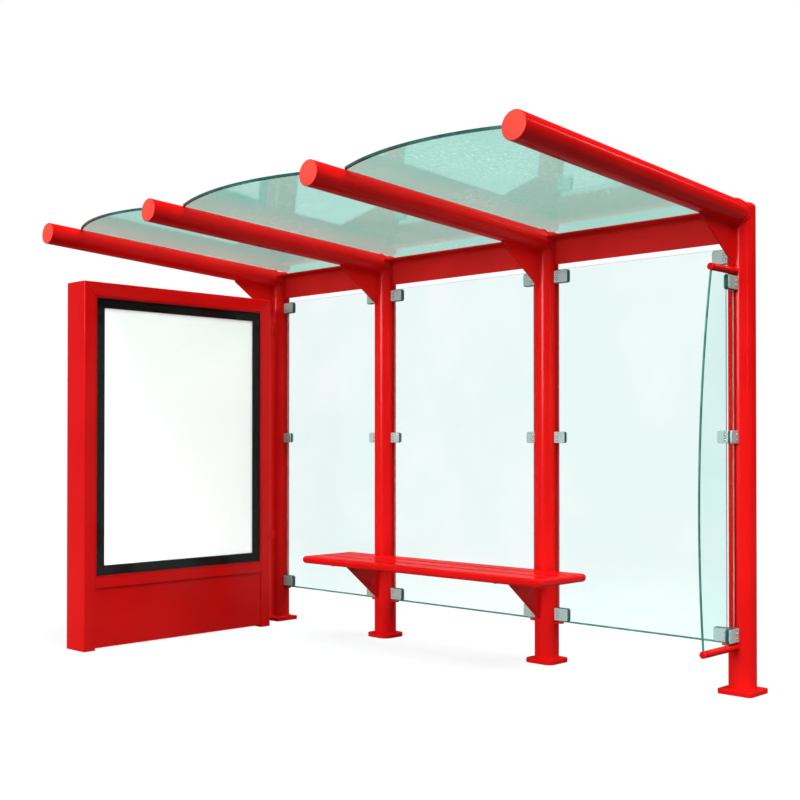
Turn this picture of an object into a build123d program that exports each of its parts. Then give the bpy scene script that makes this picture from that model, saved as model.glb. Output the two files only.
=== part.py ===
"""Bus shelter of three bays: round steel posts and roof arms, glass roof, glass back, one glass
screen, a slatted bench and a double-sided poster case.

Millimetres, +Z up. X runs along the back wall, from the poster case to the side screen. The open
front faces -Y. The origin is on the ground, at the middle of the overall length and depth.
"""
from build123d import *
import math
import os

# ---------------------------------------------------------------- driving dimensions
# Posts and base plates
bay_widths = (1065.0, 1310.0, 1230.0)      # post axis to post axis, from the poster case
post_dia = 139.7
post_wall = 5.0
post_over_axis = 55.0                      # crown of the closed post top above the arm axis
post_top_round = 24.0                      # rounding of the closed post top
post_top_thick = 30.0                      # depth of the welded post top
base_size = 190.0
base_thick = 25.0
base_corners = (20.0, 55.0, 38.0, 20.0)    # corner radius of each plate, from the poster case
base_edge = 3.0                            # dressed upper edge of a plate

# Roof arms
arm_dia = 127.0
arm_wall = 4.0
arm_slope = 3.5                            # degrees, rising to the front
arm_axis_height = 2415.0                   # arm axis where it meets the post axis
arm_reach = 1830.0                         # post axis to the middle of the front cap
arm_cap_thick = 6.0

# Gusset plates under the arms
gusset_thick = 10.0
gusset_reach = 400.0                       # post axis to the front tip
gusset_drop = 205.0                        # arm underside to the lower tip
gusset_nose = 10.0                         # blunted tips

# Rear beams: angle section between the posts
beam_height = 160.0
beam_depth = 80.0
beam_thick = 8.0
beam_over_axis = 25.0                      # top of the flange above the arm axis

# Roof panes
roof_glass_thick = 12.0
roof_glass_setback = 215.0                 # arm cap to the front corners of a pane
roof_glass_bulge = 120.0                   # how far the front edge curves forward
roof_glass_rear = 120.0                    # overhang behind the post axes
roof_glass_seam = 40.0                     # gap between neighbouring panes, over an arm

# Rear panes
rear_glass_thick = 8.0
rear_glass_bottom = 240.0
rear_glass_top_gap = 30.0                  # clear strip under the rear beam
rear_glass_side_gap = 20.0                 # post face to pane edge
glass_corner = 6.0

# Glass clamps
clamp_jaw = 16.0                           # one jaw, in front of or behind the glass
clamp_reach = 90.0                         # post face to the far end of a corner clamp
clamp_middle_reach = 65.0                  # the same for the middle clamps
clamp_corner_height = 75.0
clamp_middle_height = 65.0
clamp_round = 7.0
clamp_middle_z = 1290.0                    # height of the middle clamps above the ground
clamp_edge_gap = 5.0                       # pane corner to the end clamps, measured along the post

# Lugs under the lowest clamps, welded to the posts
lug_thick = 10.0
lug_reach = 55.0                           # post face to lug end
lug_depth = 40.0

# Side screen on the last post
side_rod_dia = 36.0
side_rod_under_axis = 293.0                # upper rod below the arm axis
side_rod_lower_z = 240.0
side_rod_upper_reach = 311.0               # post axis to rod end
side_rod_lower_reach = 393.0
side_rod_round = 4.0
side_glass_thick = 8.0
side_glass_belly = 418.0                   # post axis to the front edge at half height

# Bench
bench_top = 540.0
slat_thick = 46.0
slat_width = 134.0
slat_gap = 9.0
slat_round = 18.0
slat_count = 3
bench_end_width = 30.0                     # bar across each end of the slats
bench_rear_gap = 20.0                      # post face to the rear slat
bench_overhang_left = 232.0                # second post axis to the bench end
bench_overhang_right = 338.0               # third post axis to the bench end
bracket_thick = 10.0
bracket_reach = 294.0                      # post face to where the slope starts
bracket_drop = 236.0                       # slat underside to the lower tip
bracket_tip = 14.0                         # width of the lower tip
bracket_nose = 7.0                         # height of the flat end under the front slat
bracket_inset = 40.0                       # front slat edge to the bracket end

# Poster case
case_length = 1443.0
case_thick = 200.0
case_gusset_gap = 30.0                     # clear height between the case and the first gusset
case_post_gap = 182.0                      # post face to the case
case_offset = 100.0                        # first post axis to the middle of the case, along the wall
case_wall = 3.0
stile_width = 77.0
head_height = 85.0
sill_height = 65.0
sill_bottom = 375.0
kick_clearance = 13.0                      # ground to the kick panels
kick_recess = 8.0
case_glass_thick = 5.0
case_glass_recess = 8.0
poster_gap = 6.0                           # glass to poster board
poster_board_thick = 12.0
case_corner_round = 3.0
link_thick = 8.0                           # bars that tie the case to the first post
link_width = 50.0
link_inset = 20.0                          # outer case face to the bars
link_over_sill = 160.0                     # lower bar above the sill
link_under_top = 186.0                     # upper bar below the top of the case

# Fits
weld_gap = 0.2                             # curved faces that are welded to each other
cope_tuck = 7.0                            # how far a beam runs into a post before it is coped
glass_fit = 0.3                            # glass edge to its rebate or support

# ---------------------------------------------------------------- derived places
post_r = post_dia / 2
arm_r = arm_dia / 2
post_height = arm_axis_height + post_over_axis
beam_top = arm_axis_height + beam_over_axis
side_rod_upper_z = arm_axis_height - side_rod_under_axis
slope = math.radians(arm_slope)
rise = math.tan(slope)
post_count = len(bay_widths) + 1
row_length = sum(bay_widths)

low_x = min(case_offset - case_thick / 2, -base_size / 2)
high_x = row_length + base_size / 2
front_y = -(arm_reach + arm_r * math.sin(slope))
rear_y = max(roof_glass_rear, base_size / 2)
first_x = -(low_x + high_x) / 2            # first post axis
post_y = -(front_y + rear_y) / 2           # line of the post axes
post_x = [first_x + sum(bay_widths[:i]) for i in range(post_count)]

beam_bottom = beam_top - beam_height
rear_glass_top = beam_bottom - rear_glass_top_gap
slat_bottom = bench_top - slat_thick
case_rear_y = post_y - post_r - case_post_gap
case_front_y = case_rear_y - case_length
opening_bottom = sill_bottom + sill_height


def arm_under(y_out):
    """Height of an arm's lowest line at a distance y_out in front of the post axis."""
    return arm_axis_height + y_out * rise - arm_r / math.cos(slope)


def gusset_edge():
    """Lower and upper end of a gusset's sloping edge, as distance from the post axis and height."""
    back = post_r + weld_gap
    return ((back + gusset_nose, arm_under(back) - gusset_drop),
            (gusset_reach, arm_under(gusset_reach) - weld_gap - gusset_nose))


def gusset_under(y_out):
    """Height of a gusset's sloping edge at a distance y_out in front of the post axis."""
    (low_y, low_z), (high_y, high_z) = gusset_edge()
    return low_z + (high_z - low_z) * (y_out - low_y) / (high_y - low_y)


case_height = gusset_under(post_r + case_post_gap) - case_gusset_gap
opening_top = case_height - head_height
link_heights = (opening_bottom + link_over_sill, case_height - link_under_top)


def block(x0, x1, y0, y1, z0, z1):
    """A box given by its limits."""
    return Pos((x0 + x1) / 2, (y0 + y1) / 2, (z0 + z1) / 2) * Box(abs(x1 - x0), abs(y1 - y0), abs(z1 - z0))


def post_cutter(x):
    """What a post takes away from a piece that is coped to it."""
    return Pos(x, post_y, post_height) * Cylinder(post_r + weld_gap, 2 * post_height)


def arm_plane(x):
    """Plane across an arm at the post axis, its normal along the arm to the front."""
    return Plane(origin=(x, post_y, arm_axis_height), x_dir=(1, 0, 0),
                 z_dir=(0, -math.cos(slope), math.sin(slope)))


def side_profile(points, x, thick):
    """A flat plate standing across the wall: points are (y, z), thick is along X."""
    outline = Polyline([(0.0, y, z) for y, z in points], close=True)
    return Pos(x - thick / 2, 0, 0) * extrude(make_face(outline), amount=thick, dir=(1, 0, 0))


# ---------------------------------------------------------------- posts and plates
def make_post(index):
    """Round tube with a closed, rounded top."""
    x = post_x[index]
    tall = post_height - base_thick
    body = Pos(x, post_y, base_thick + tall / 2) * Cylinder(post_r, tall)
    body = fillet(body.edges().filter_by(GeomType.CIRCLE).sort_by(Axis.Z)[-1], post_top_round)
    bore_tall = tall - post_top_thick
    bore = Pos(x, post_y, base_thick + bore_tall / 2) * Cylinder(post_r - post_wall, bore_tall)
    return body - bore


def make_base_plate(index):
    """Square plate with rounded corners under a post."""
    plate = extrude(RectangleRounded(base_size, base_size, base_corners[index]), amount=base_thick)
    plate = chamfer(plate.faces().sort_by(Axis.Z)[-1].edges(), base_edge)
    return Pos(post_x[index], post_y, 0) * plate


# ---------------------------------------------------------------- roof
def make_arm(index):
    """Round arm, coped to the post, closed by a flat cap at the front."""
    x = post_x[index]
    length = arm_reach / math.cos(slope)
    plane = arm_plane(x)
    tube = extrude(plane * Circle(arm_r), amount=length)
    bore = extrude(plane * Circle(arm_r - arm_wall), amount=length - arm_cap_thick)
    return tube - bore - post_cutter(x)


def make_gusset(index):
    """Triangular plate in the corner of post and arm."""
    back = post_r + weld_gap
    low_end, high_end = gusset_edge()
    points = [(back, arm_under(back) - weld_gap),
              (gusset_reach, arm_under(gusset_reach) - weld_gap),
              high_end,
              low_end,
              (back, arm_under(back) - gusset_drop)]
    return side_profile([(post_y - y, z) for y, z in points], post_x[index], gusset_thick)


def make_rear_beam(bay):
    """Angle between two posts: upright web, top flange pointing forward."""
    left = post_x[bay]
    right = post_x[bay + 1]
    web_front = post_y - beam_thick / 2
    web_back = post_y + beam_thick / 2
    web = block(left + post_r - cope_tuck, right - post_r + cope_tuck, web_front, web_back,
                beam_bottom, beam_top)
    flange = block(left + arm_r + weld_gap, right - arm_r - weld_gap,
                   web_back - beam_depth, web_back, beam_top - beam_thick, beam_top)
    return web + flange - post_cutter(left) - post_cutter(right)


def make_roof_glass(bay):
    """Flat pane whose long edges rest on the shoulders of two arms; its front edge curves forward."""
    left = post_x[bay] + roof_glass_seam / 2
    right = post_x[bay + 1] - roof_glass_seam / 2
    shoulder = math.sqrt(arm_r ** 2 - (roof_glass_seam / 2) ** 2)
    plane = Plane(origin=(0, post_y, arm_axis_height + shoulder / math.cos(slope)), x_dir=(1, 0, 0),
                  z_dir=(0, math.sin(slope), math.cos(slope)))
    stretch = 1 / math.cos(slope)
    rear = roof_glass_rear * stretch
    corner = -(arm_reach - roof_glass_setback) * stretch
    nose = corner - roof_glass_bulge * stretch
    middle = (left + right) / 2
    outline = Polyline((left, corner), (left, rear), (right, rear), (right, corner))
    outline += ThreePointArc((left, corner), (middle, nose), (right, corner))
    return extrude(plane * make_face(outline), amount=roof_glass_thick)


# ---------------------------------------------------------------- rear and side glass
def make_rear_glass(bay):
    """Upright pane between two posts, at their middle."""
    left = post_x[bay] + post_r + rear_glass_side_gap
    right = post_x[bay + 1] - post_r - rear_glass_side_gap
    pane = block(left, right, post_y - rear_glass_thick / 2, post_y + rear_glass_thick / 2,
                 rear_glass_bottom, rear_glass_top)
    return fillet(pane.edges().filter_by(Axis.Y), glass_corner)


def clamp_places(low, high):
    """Middle height, reach and length of the three clamps along an upright glass edge."""
    end = clamp_corner_height / 2 + clamp_edge_gap
    return [(low + end, clamp_reach, clamp_corner_height),
            (clamp_middle_z, clamp_middle_reach, clamp_middle_height),
            (high - end, clamp_reach, clamp_corner_height)]


def clamp_body(thick, reach, tall):
    """One clamp, centred on the post axis and reaching along +X, before it is cut to the glass."""
    body = Pos((post_r + reach) / 2, 0, 0) * Box(post_r + reach, thick + 2 * clamp_jaw, tall)
    return fillet(body.edges().filter_by(Axis.Y).sort_by(Axis.X)[-2:], clamp_round)


def make_rear_clamps(bay):
    """The six clamps that hold one rear pane."""
    clamps = []
    pane = block(post_x[bay] + post_r + rear_glass_side_gap - glass_fit,
                 post_x[bay + 1] - post_r - rear_glass_side_gap + glass_fit,
                 post_y - rear_glass_thick / 2, post_y + rear_glass_thick / 2,
                 0, post_height)
    for index, turn in ((bay, 0), (bay + 1, 180)):
        for level, reach, tall in clamp_places(rear_glass_bottom, rear_glass_top):
            body = clamp_body(rear_glass_thick, reach, tall)
            body = Pos(post_x[index], post_y, level) * Rot(0, 0, turn) * body
            clamps.append(body - pane - post_cutter(post_x[index]))
    return Compound(children=clamps)


def make_glass_lugs():
    """Lugs welded to the posts under the lowest corners of the rear panes."""
    lugs = []
    top = rear_glass_bottom - glass_fit
    for bay in range(len(bay_widths)):
        for index, side in ((bay, 1), (bay + 1, -1)):
            lug = block(post_x[index], post_x[index] + side * (post_r + lug_reach),
                        post_y - lug_depth / 2, post_y + lug_depth / 2, top - lug_thick, top)
            lugs.append(lug - post_cutter(post_x[index]))
    return Compound(children=lugs)


def side_glass_limits():
    """Lower and upper edge of the side screen: between the rods."""
    radius = side_rod_dia / 2
    return (side_rod_lower_z + radius + glass_fit, side_rod_upper_z - radius - glass_fit)


def make_side_glass():
    """Side pane between the two rods, with a front edge that curves forward."""
    low, high = side_glass_limits()
    x = post_x[-1]
    rear = post_y - post_r - rear_glass_side_gap
    low_front = post_y - side_rod_lower_reach + side_rod_round
    high_front = post_y - side_rod_upper_reach + side_rod_round
    belly = post_y - side_glass_belly
    outline = Polyline((0, high_front, high), (0, rear, high), (0, rear, low), (0, low_front, low))
    outline += ThreePointArc((0, low_front, low), (0, belly, (low + high) / 2), (0, high_front, high))
    return Pos(x - side_glass_thick / 2, 0, 0) * extrude(make_face(outline), amount=side_glass_thick,
                                                         dir=(1, 0, 0))


def make_side_clamps():
    """The three clamps on the last post that hold the side pane."""
    low, high = side_glass_limits()
    x = post_x[-1]
    pane = block(x - side_glass_thick / 2, x + side_glass_thick / 2,
                 post_y - post_r - rear_glass_side_gap + glass_fit, post_y - side_glass_belly,
                 0, post_height)
    clamps = []
    for level, reach, tall in clamp_places(low, high):
        body = Pos(x, post_y, level) * Rot(0, 0, -90) * clamp_body(side_glass_thick, reach, tall)
        clamps.append(body - pane - post_cutter(x))
    return Compound(children=clamps)


def make_side_rod(height, reach):
    """Round rod from the last post to the front, with an eased end."""
    x = post_x[-1]
    plane = Plane(origin=(x, post_y, height), x_dir=(1, 0, 0), z_dir=(0, -1, 0))
    rod = extrude(plane * Circle(side_rod_dia / 2), amount=reach)
    rod = fillet(rod.edges().filter_by(GeomType.CIRCLE).sort_by(Axis.Y)[0], side_rod_round)
    return rod - post_cutter(x)


# ---------------------------------------------------------------- bench
bench_rear = post_y - post_r - bench_rear_gap
bench_front = bench_rear - slat_count * slat_width - (slat_count - 1) * slat_gap
bench_left = post_x[1] - bench_overhang_left
bench_right = post_x[2] + bench_overhang_right


def make_slat(place):
    """One slat, place 0 at the back."""
    rear = bench_rear - place * (slat_width + slat_gap)
    slat = block(bench_left + bench_end_width, bench_right - bench_end_width,
                 rear - slat_width, rear, slat_bottom, bench_top)
    return fillet(slat.edges().filter_by(Axis.X), slat_round)


def make_bench_end(left):
    """Bar welded across the slat ends, its ends and its long outer edges rounded like the slats."""
    inner = bench_left + bench_end_width if left else bench_right - bench_end_width
    outer = bench_left if left else bench_right
    bar = block(inner, outer, bench_front, bench_rear, slat_bottom, bench_top)
    outer_face = bar.faces().sort_by(Axis.X)[0 if left else -1]
    return fillet(bar.edges().filter_by(Axis.X) + outer_face.edges().filter_by(Axis.Y), slat_round)


def make_bracket(index):
    """Plate on a post that carries the slats."""
    back = post_y - post_r - weld_gap
    nose = bench_front + bracket_inset
    bend = post_y - post_r - bracket_reach
    points = [(back, slat_bottom),
              (nose, slat_bottom),
              (nose, slat_bottom - bracket_nose),
              (bend, slat_bottom - bracket_nose),
              (back - bracket_tip, slat_bottom - bracket_drop),
              (back, slat_bottom - bracket_drop)]
    return side_profile(points, post_x[index], bracket_thick)


# ---------------------------------------------------------------- poster case
case_x = post_x[0] + case_offset
link_x = case_x - case_thick / 2 + link_inset
inner_front = case_front_y + stile_width
inner_rear = case_rear_y - stile_width
trough = (case_thick / 2 - case_glass_recess - case_glass_thick - poster_gap - poster_board_thick
          - 2 * case_wall)


def make_stile(front):
    """Upright of the case: a box profile that runs to the ground, mitred at the top."""
    outer = case_front_y if front else case_rear_y
    inner = inner_front if front else inner_rear
    points = [(outer, 0), (inner, 0), (inner, opening_top), (outer, case_height)]
    stile = side_profile(points, case_x, case_thick)
    upright_edges = stile.edges().filter_by(Axis.Z)
    corners = upright_edges.filter_by_position(Axis.Y, outer - case_wall, outer + case_wall)
    stile = fillet(corners, case_corner_round)
    low = min(outer, inner) + case_wall
    high = max(outer, inner) - case_wall
    stile -= block(case_x - case_thick / 2 + case_wall, case_x + case_thick / 2 - case_wall,
                   low, high, 0, opening_top - case_wall)
    if not front:
        for level in link_heights:
            stile += block(link_x - link_thick / 2, link_x + link_thick / 2, case_rear_y - case_wall / 2,
                           post_y - post_r / 2, level - link_width / 2, level + link_width / 2)
        stile -= post_cutter(post_x[0])
    return stile


def make_head():
    """Top member of the case, mitred to the stiles, hollow over the posters."""
    points = [(case_front_y, case_height), (case_rear_y, case_height),
              (inner_rear, opening_top), (inner_front, opening_top)]
    head = side_profile(points, case_x, case_thick)
    return head - block(case_x - trough, case_x + trough, inner_front + case_wall, inner_rear - case_wall,
                        opening_top, case_height - case_wall)


def make_sill():
    """Lower rail of the case, between the stiles, hollow under the posters."""
    sill = block(case_x - case_thick / 2, case_x + case_thick / 2, inner_front, inner_rear,
                 sill_bottom, opening_bottom)
    return sill - block(case_x - trough, case_x + trough, inner_front + case_wall, inner_rear - case_wall,
                        sill_bottom + case_wall, opening_bottom)


def make_kick_panels():
    """A sheet under the sill on each side of the case, set back from the case's faces."""
    sheets = []
    for side in (1, -1):
        face = case_x + side * (case_thick / 2 - kick_recess)
        sheets.append(block(face - side * case_wall, face, inner_front, inner_rear,
                            kick_clearance, sill_bottom))
    return Compound(children=sheets)


def case_sheet(side, outer, thick):
    """A sheet in the case opening; outer is the distance from the case face to the sheet."""
    face = case_x + side * (case_thick / 2 - outer)
    return block(face - side * thick, face, inner_front + glass_fit, inner_rear - glass_fit,
                 opening_bottom + glass_fit, opening_top - glass_fit)


def make_case_glass(side):
    """Glazing over a poster."""
    return case_sheet(side, case_glass_recess, case_glass_thick)


def make_poster(side):
    """Board with the poster on its outer face."""
    return case_sheet(side, case_glass_recess + case_glass_thick + poster_gap, poster_board_thick)


# ---------------------------------------------------------------- write the parts
parts = {}
for i in range(post_count):
    parts[f"post_{i + 1}"] = make_post(i)
    parts[f"base_plate_{i + 1}"] = make_base_plate(i)
    parts[f"roof_arm_{i + 1}"] = make_arm(i)
    parts[f"arm_gusset_{i + 1}"] = make_gusset(i)
for i in range(len(bay_widths)):
    parts[f"rear_beam_{i + 1}"] = make_rear_beam(i)
    parts[f"roof_glass_{i + 1}"] = make_roof_glass(i)
    parts[f"rear_glass_{i + 1}"] = make_rear_glass(i)
    parts[f"rear_clamps_{i + 1}"] = make_rear_clamps(i)
parts["glass_lugs"] = make_glass_lugs()
parts["side_glass"] = make_side_glass()
parts["side_clamps"] = make_side_clamps()
parts["side_rod_upper"] = make_side_rod(side_rod_upper_z, side_rod_upper_reach)
parts["side_rod_lower"] = make_side_rod(side_rod_lower_z, side_rod_lower_reach)
for place, name in enumerate(("rear", "middle", "front")):
    parts[f"bench_slat_{name}"] = make_slat(place)
parts["bench_end_left"] = make_bench_end(True)
parts["bench_end_right"] = make_bench_end(False)
parts["bench_bracket_left"] = make_bracket(1)
parts["bench_bracket_right"] = make_bracket(2)
parts["case_stile_front"] = make_stile(True)
parts["case_stile_rear"] = make_stile(False)
parts["case_head"] = make_head()
parts["case_sill"] = make_sill()
parts["kick_panels"] = make_kick_panels()
for name, side in (("right", 1), ("left", -1)):
    parts[f"case_glass_{name}"] = make_case_glass(side)
    parts[f"poster_{name}"] = make_poster(side)

os.makedirs("parts", exist_ok=True)
for name, shape in parts.items():
    export_step(shape, f"parts/{name}.step")
print(len(parts), "parts; post line at y =", round(post_y, 1))
print("post axes at x =", [round(x, 1) for x in post_x])
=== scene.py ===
"""Bus shelter of three bays in red coated steel and glass: posts, roof arms, glass roof, glass back,
side screen, slatted bench and a double-sided poster case. Metres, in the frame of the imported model.
"""

import math

import bmesh
import bpy
from mathutils import Matrix, Vector


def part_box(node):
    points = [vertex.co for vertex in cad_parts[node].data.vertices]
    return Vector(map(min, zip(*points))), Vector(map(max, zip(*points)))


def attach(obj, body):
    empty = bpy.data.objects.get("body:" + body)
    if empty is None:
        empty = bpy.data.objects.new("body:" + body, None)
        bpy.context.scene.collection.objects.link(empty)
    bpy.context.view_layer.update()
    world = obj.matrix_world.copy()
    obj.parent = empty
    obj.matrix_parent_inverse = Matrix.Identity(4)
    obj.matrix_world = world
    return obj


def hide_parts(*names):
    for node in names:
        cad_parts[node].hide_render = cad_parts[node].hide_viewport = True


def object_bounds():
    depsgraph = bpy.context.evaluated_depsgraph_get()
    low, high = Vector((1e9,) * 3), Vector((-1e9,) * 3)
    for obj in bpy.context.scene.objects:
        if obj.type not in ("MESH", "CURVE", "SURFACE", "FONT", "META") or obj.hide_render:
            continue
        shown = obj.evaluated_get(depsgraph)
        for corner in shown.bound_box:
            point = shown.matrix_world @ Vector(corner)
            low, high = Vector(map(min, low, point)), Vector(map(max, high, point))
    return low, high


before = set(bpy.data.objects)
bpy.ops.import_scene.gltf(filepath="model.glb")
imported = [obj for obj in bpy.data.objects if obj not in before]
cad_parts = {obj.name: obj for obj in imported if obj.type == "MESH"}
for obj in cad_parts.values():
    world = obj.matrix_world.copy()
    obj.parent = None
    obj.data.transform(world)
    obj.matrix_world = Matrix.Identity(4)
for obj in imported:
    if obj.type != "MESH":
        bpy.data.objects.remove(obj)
cad_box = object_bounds()

# ---------------------------------------------------------------- base plates
# Square steel plates, 25 mm thick, one under each post. They are flame cut, their corners are
# rounded by hand to different radii and the upper edge is dressed. Coated red with all the steelwork.
plate_corners = (0.020, 0.055, 0.038, 0.020)
plate_edge = 0.003


def surface(name, **values):
    """A new material with its links and its shader, whose inputs are set by name."""
    material = bpy.data.materials.new(name)
    material.use_nodes = True
    shader = material.node_tree.nodes["Principled BSDF"]
    for label, value in values.items():
        shader.inputs[label.replace("_", " ")].default_value = value
    return material, material.node_tree.links, shader


def node(material, kind, **values):
    """A shader node with its inputs set by name."""
    made = material.node_tree.nodes.new(kind)
    for name, value in values.items():
        made.inputs[name.replace("_", " ")].default_value = value
    return made


def blend_colours(material, factor, first, second):
    """A colour between two others, chosen by a factor output."""
    mix = node(material, "ShaderNodeMix")
    mix.data_type = "RGBA"
    mix.inputs["A"].default_value = (*first, 1)
    mix.inputs["B"].default_value = (*second, 1)
    material.node_tree.links.new(factor, mix.inputs["Factor"])
    return mix.outputs["Result"]


def remap(material, source, from_low, from_high, to_low, to_high):
    """A value taken from one range to another."""
    span = node(material, "ShaderNodeMapRange",
                From_Min=from_low, From_Max=from_high, To_Min=to_low, To_Max=to_high)
    material.node_tree.links.new(source, span.inputs["Value"])
    return span.outputs["Result"]


def clouds(material, scale, detail, stretch=(1, 1, 1)):
    """Noise in the model's frame, in cycles a metre, drawn out along the axes with a low stretch."""
    place = node(material, "ShaderNodeTexCoord")
    mapping = node(material, "ShaderNodeMapping", Scale=stretch)
    noise = node(material, "ShaderNodeTexNoise", Scale=scale, Detail=detail)
    material.node_tree.links.new(place.outputs["Object"], mapping.inputs["Vector"])
    material.node_tree.links.new(mapping.outputs["Vector"], noise.inputs["Vector"])
    return noise.outputs["Fac"]


def bump(material, height, strength, distance):
    """A normal that follows a height output; distance is in metres."""
    made = node(material, "ShaderNodeBump", Strength=strength, Distance=distance)
    material.node_tree.links.new(height, made.inputs["Height"])
    return made.outputs["Normal"]


def red_coating(name, deep, bright, rough_low, rough_high, coat):
    """Baked powder coating over steel: even red, faint clouding, fine orange peel, a thin clear skin
    of the given weight that carries all its shine."""
    material, links, shader = surface(name, Specular_IOR_Level=0.0, Roughness=0.5, Coat_Weight=coat)
    cloud = clouds(material, 3.0, 5)
    links.new(blend_colours(material, remap(material, cloud, 0.35, 0.65, 0, 1), deep, bright),
              shader.inputs["Base Color"])
    haze = clouds(material, 22.0, 4)
    links.new(remap(material, haze, 0.3, 0.7, rough_low, rough_high), shader.inputs["Coat Roughness"])
    peel = clouds(material, 60.0, 1)
    links.new(bump(material, peel, 0.01, 0.0005), shader.inputs["Coat Normal"])
    return material


steel_red = red_coating("red_coating", (0.64, 0.0045, 0.0042), (0.70, 0.0065, 0.0060),
                        rough_low=0.16, rough_high=0.20, coat=0.15)


def show(name, bm, *materials, smooth=32, slot="red_paint"):
    """Turn a finished bmesh into a piece of the shelter that rides on its one body."""
    bmesh.ops.recalc_face_normals(bm, faces=bm.faces)
    mesh = bpy.data.meshes.new(name)
    bm.to_mesh(mesh)
    bm.free()
    for material in materials:
        mesh.materials.append(material)
    mesh.shade_smooth()
    mesh.set_sharp_from_angle(angle=math.radians(smooth))
    piece = bpy.data.objects.new(name, mesh)
    bpy.context.scene.collection.objects.link(piece)
    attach(piece, "root")
    return piece


def ease(piece, width, segments=3, from_angle=40, material=-1):
    """Round the sharp edges of a piece; faces of the rounding can take a material of their own.
    One segment makes a ground chamfer on flat sheet, which stays flat to the light."""
    rounding = piece.modifiers.new("eased edges", "BEVEL")
    rounding.width = width
    rounding.segments = segments
    rounding.limit_method = "ANGLE"
    rounding.angle_limit = math.radians(from_angle)
    rounding.harden_normals = segments > 1
    rounding.material = material
    if segments == 1:
        piece.data.shade_flat()


def prism(bm, outline, lift, side_material=0):
    """A solid with an outline of points as one end, carried along lift. Returns its side faces."""
    lift = Vector(lift)
    near = [bm.verts.new(p) for p in outline]
    far = [bm.verts.new(Vector(p) + lift) for p in outline]
    bm.faces.new(near)
    bm.faces.new(list(reversed(far)))
    sides = []
    for i in range(len(near)):
        j = (i + 1) % len(near)
        face = bm.faces.new((near[i], far[i], far[j], near[j]))
        face.material_index = side_material
        sides.append(face)
    return sides


def corner_arc(centre, radius, start, turn, steps=8):
    """Points of an arc in a plane, as (a, b) pairs; angles in degrees."""
    points = []
    for i in range(steps + 1):
        angle = math.radians(start + turn * i / steps)
        points.append((centre[0] + radius * math.cos(angle), centre[1] + radius * math.sin(angle)))
    return points


def rounded_square(centre, size, radius):
    """Outline of a square with round corners, as (x, y) pairs."""
    reach = size / 2 - radius
    points = []
    for quarter, (sx, sy) in enumerate(((1, 1), (-1, 1), (-1, -1), (1, -1))):
        middle = (centre[0] + sx * reach, centre[1] + sy * reach)
        points += corner_arc(middle, radius, 90 * quarter, 90, 12)
    return points


posts = []
for number, corner in enumerate(plate_corners, start=1):
    plate_low, plate_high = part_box(f"base_plate_{number}")
    middle = (plate_low + plate_high) / 2
    posts.append(middle)
    bm = bmesh.new()
    outline = rounded_square(middle, plate_high.x - plate_low.x, corner)
    prism(bm, [(x, y, plate_low.z) for x, y in outline], (0, 0, plate_high.z - plate_low.z))
    plate = show(f"base_plate_{number}_dressed", bm, steel_red)
    ease(plate, plate_edge, 4)
    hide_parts(f"base_plate_{number}")
plate_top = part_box("base_plate_1")[1].z

# ---------------------------------------------------------------- posts
# Round steel tube, 140 mm across, closed at the top by a welded cap that is ground to a soft dome.
# Each stands on its plate in a fillet weld that runs all the way round.
post_low, post_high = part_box("post_1")
post_r = (post_high.x - post_low.x) / 2
post_top = post_high.z
post_dome = 0.024
bead = 0.0055                               # half width of the fillet welds
bead_lift = bead * 0.3                      # middle of a bead out of its corner
weld_sides = 10
weld_step = 0.0016
ripple = 0.0065                             # length of one ripple in a weld
ripple_rise = 0.05                          # and its height, as a share of the bead


def turned(bm, profile, place, segments=96):
    """A turned solid: profile is (radius, height) pairs, place puts its axis in the model's frame."""
    rings = []
    for radius, height in profile:
        if radius < 1e-6:
            rings.append([bm.verts.new(place @ Vector((0, 0, height)))])
        else:
            turns = [2 * math.pi * i / segments for i in range(segments)]
            rings.append([bm.verts.new(place @ Vector((radius * math.cos(a), radius * math.sin(a), height)))
                          for a in turns])
    for ring, after in zip(rings, rings[1:]):
        for i in range(segments):
            j = (i + 1) % segments
            if len(ring) == 1:
                bm.faces.new((ring[0], after[i], after[j]))
            elif len(after) == 1:
                bm.faces.new((ring[i], ring[j], after[0]))
            else:
                bm.faces.new((ring[i], ring[j], after[j], after[i]))


def weld(bm, path, size=bead, closed=False, swell=None):
    """A bead laid along a path of points, with the ripples of the weld pool. swell(point) scales it."""
    path = [Vector(p) for p in path]
    count = len(path)
    travelled = 0.0
    rings = []
    for i, point in enumerate(path):
        before = path[i - 1] if closed or i else point
        after = path[(i + 1) % count] if closed or i < count - 1 else point
        along = (after - before).normalized()
        if i:
            travelled += (point - path[i - 1]).length
        side = side - along * side.dot(along) if rings else along.orthogonal()
        side.normalize()
        up = along.cross(side)
        radius = size * (1 + ripple_rise * math.cos(2 * math.pi * travelled / ripple))
        if swell:
            radius *= swell(point)
        if not closed and i in (0, count - 1):
            radius *= 0.5
        rings.append([bm.verts.new(point + side * radius * math.cos(a) + up * radius * math.sin(a))
                      for a in (2 * math.pi * k / weld_sides for k in range(weld_sides))])
    pairs = list(zip(rings, rings[1:]))
    if closed:
        pairs.append((rings[-1], rings[0]))
    else:
        bm.faces.new(rings[0])
        bm.faces.new(list(reversed(rings[-1])))
    for ring, next_ring in pairs:
        for k in range(weld_sides):
            m = (k + 1) % weld_sides
            bm.faces.new((ring[k], next_ring[k], next_ring[m], ring[m]))


def stepped(start, end):
    """Points in a straight line between two points, a weld's step apart."""
    start = Vector(start)
    end = Vector(end)
    count = max(2, round((end - start).length / weld_step))
    return [start.lerp(end, i / count) for i in range(count + 1)]


def ring_path(centre, radius, height):
    """Points round a level circle, a weld's step apart."""
    count = round(2 * math.pi * radius / weld_step)
    return [(centre[0] + radius * math.cos(2 * math.pi * i / count),
             centre[1] + radius * math.sin(2 * math.pi * i / count), height) for i in range(count)]


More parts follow.
